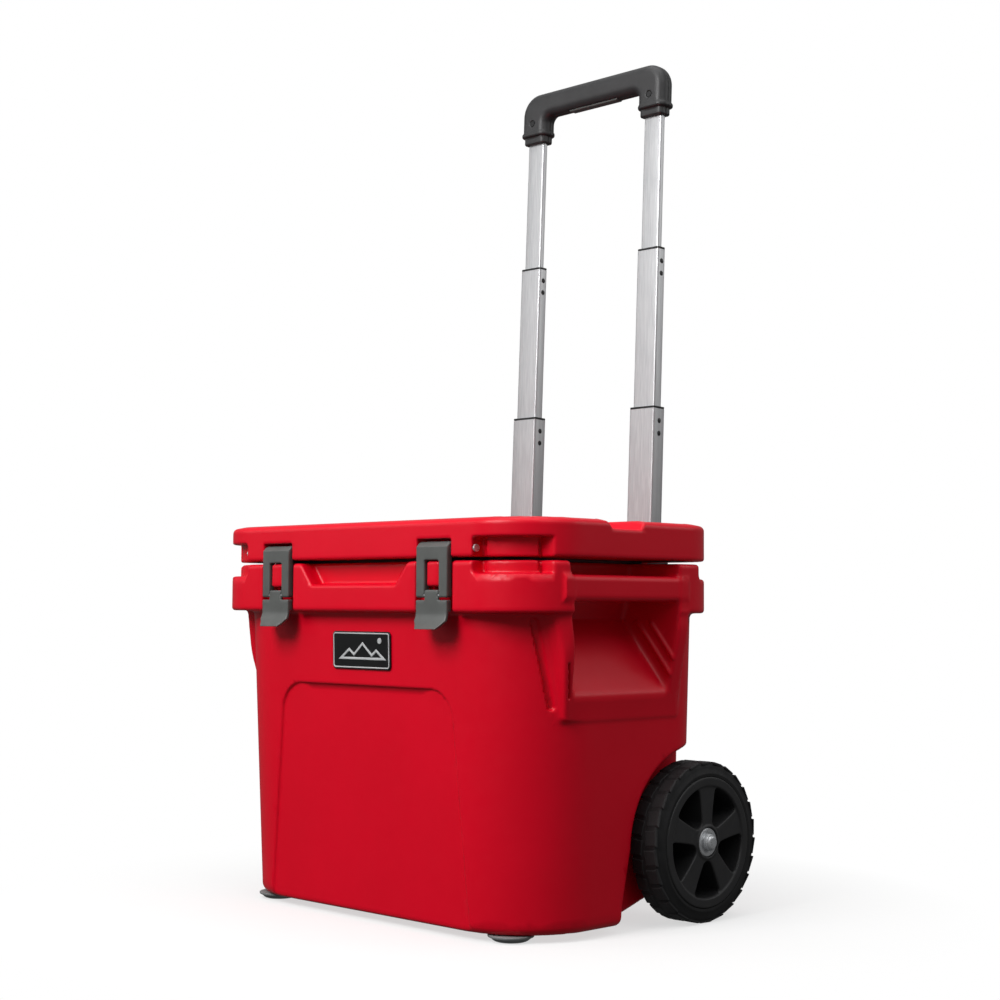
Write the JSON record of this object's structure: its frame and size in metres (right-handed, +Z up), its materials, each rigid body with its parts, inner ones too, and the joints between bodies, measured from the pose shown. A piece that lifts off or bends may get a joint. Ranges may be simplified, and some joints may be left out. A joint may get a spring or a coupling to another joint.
{
  "type": "wheeled cooler chest",
  "caption": "Insulated chest with a hinged lid, front draw latches, side carry bars, rear wheels and a telescoping pull handle.",
  "frame": {"origin": "on the ground, at the centre of the whole object's width and depth", "axes": "+X to the chest's right seen from the latch side, -Y out of the latch side, +Y towards the handle and wheels, +Z up"},
  "size_m": [0.589, 0.4532, 1.0837],
  "materials": {
    "shell_plastic": "red rotomoulded polyethylene, semi-gloss with a fine moulded grain",
    "insulation_foam": "rigid foam insulation",
    "badge_plastic": "black moulded badge with a pale raised border",
    "seal_rubber": "soft grey gasket rubber",
    "grip_plastic": "charcoal moulded nylon, satin",
    "latch_plastic": "warm grey moulded nylon, satin",
    "steel": "zinc-plated steel",
    "foot_rubber": "grey moulded rubber",
    "tube_aluminium": "satin anodised aluminium",
    "wheel_plastic": "charcoal moulded nylon, matte",
    "tyre_rubber": "black solid rubber"
  },
  "bodies": {
    "root": {"body_shell": "shell_plastic", "body_foam_core": "insulation_foam", "body_fill_plug": "shell_plastic", "badge_plate": "badge_plastic", "axle": "steel", "handle_top_bracket": "grip_plastic", "handle_foot_bracket": "grip_plastic", "foot_front_left": "foot_rubber", "foot_rear_left": "foot_rubber", "hinge_pin_left": "steel", "outer_tube_left": "tube_aluminium", "axle_spacer_left": "wheel_plastic", "axle_washer_left": "steel", "axle_nut_left": "steel", "foot_front_right": "foot_rubber", "foot_rear_right": "foot_rubber", "hinge_pin_right": "steel", "outer_tube_right": "tube_aluminium", "axle_spacer_right": "wheel_plastic", "axle_washer_right": "steel", "axle_nut_right": "steel"},
    "lid": {"lid_shell": "shell_plastic", "lid_foam_core": "insulation_foam", "lid_fill_plug": "shell_plastic", "lid_gasket": "seal_rubber", "latch_pin_left": "steel", "latch_pin_right": "steel"},
    "handle_lower": {"lower_tube_left": "tube_aluminium", "lower_collar_left": "grip_plastic", "lower_tube_right": "tube_aluminium", "lower_collar_right": "grip_plastic"},
    "handle_middle": {"middle_tube_left": "tube_aluminium", "middle_collar_left": "grip_plastic", "middle_tube_right": "tube_aluminium", "middle_collar_right": "grip_plastic"},
    "handle_upper": {"grip_front_shell": "grip_plastic", "grip_rear_shell": "grip_plastic", "upper_tube_left": "tube_aluminium", "grip_screw_left": "steel", "upper_tube_right": "tube_aluminium", "grip_screw_right": "steel"},
    "release_trigger": {"release_trigger": "latch_plastic", "trigger_spring_left": "steel", "trigger_spring_right": "steel"},
    "drain_seal": {"drain_seal": "seal_rubber"},
    "drain_plug": {"drain_plug": "latch_plastic"},
    "latch_frame_left": {"latch_frame_left": "latch_plastic", "lever_pin_left": "steel"},
    "latch_lever_left": {"latch_lever_left": "latch_plastic"},
    "wheel_left": {"wheel_rim_left": "wheel_plastic", "wheel_tyre_left": "tyre_rubber", "wheel_bush_left": "wheel_plastic"},
    "latch_frame_right": {"latch_frame_right": "latch_plastic", "lever_pin_right": "steel"},
    "latch_lever_right": {"latch_lever_right": "latch_plastic"},
    "wheel_right": {"wheel_rim_right": "wheel_plastic", "wheel_tyre_right": "tyre_rubber", "wheel_bush_right": "wheel_plastic"}
  },
  "joints": [
    {"name": "lid_hinge", "type": "hinge", "parent": "root", "child": "lid", "pos_m": [0, 0.1106, 0.419], "axis": [-1, 0, 0], "range_deg": [0, 92]},
    {"name": "latch_swing_left", "type": "hinge", "parent": "lid", "child": "latch_frame_left", "pos_m": [-0.14, -0.2094, 0.432], "axis": [-1, 0, 0], "range_deg": [0, 95]},
    {"name": "latch_lever_left", "type": "hinge", "parent": "latch_frame_left", "child": "latch_lever_left", "pos_m": [-0.14, -0.2166, 0.38], "axis": [-1, 0, 0], "range_deg": [0, 60]},
    {"name": "latch_swing_right", "type": "hinge", "parent": "lid", "child": "latch_frame_right", "pos_m": [0.14, -0.2094, 0.432], "axis": [-1, 0, 0], "range_deg": [0, 95]},
    {"name": "latch_lever_right", "type": "hinge", "parent": "latch_frame_right", "child": "latch_lever_right", "pos_m": [0.14, -0.2166, 0.38], "axis": [-1, 0, 0], "range_deg": [0, 60]},
    {"name": "handle_lower_slide", "type": "slide", "parent": "root", "child": "handle_lower", "axis": [0, 0.0393, 0.9992], "range_m": [-0.185, 0]},
    {"name": "handle_middle_slide", "type": "slide", "parent": "handle_lower", "child": "handle_middle", "axis": [0, 0.0393, 0.9992], "range_m": [-0.21, 0]},
    {"name": "handle_upper_slide", "type": "slide", "parent": "handle_middle", "child": "handle_upper", "axis": [0, 0.0393, 0.9992], "range_m": [-0.1755, 0]},
    {"name": "trigger_press", "type": "slide", "parent": "handle_upper", "child": "release_trigger", "axis": [0, 0.0393, 0.9992], "range_m": [0, 0.004], "stiffness_N_per_m": 400, "springref_m": -0.01},
    {"name": "wheel_spin_left", "type": "hinge", "parent": "root", "child": "wheel_left", "pos_m": [-0.266, 0.0912, 0.0938], "axis": [1, 0, 0], "continuous": true},
    {"name": "wheel_spin_right", "type": "hinge", "parent": "root", "child": "wheel_right", "pos_m": [0.266, 0.0912, 0.0938], "axis": [1, 0, 0], "continuous": true},
    {"name": "drain_travel", "type": "slide", "parent": "root", "child": "drain_seal", "axis": [0, 1, 0], "range_m": [0, 0.009]},
    {"name": "drain_turn", "type": "hinge", "parent": "drain_seal", "child": "drain_plug", "pos_m": [0, 0.1116, 0.074], "axis": [0, 1, 0], "range_deg": [0, 1080]}
  ],
  "couplings": [
    {"joint": "drain_turn", "follows": "drain_travel", "rad_per_m": 2094.4}
  ]
}
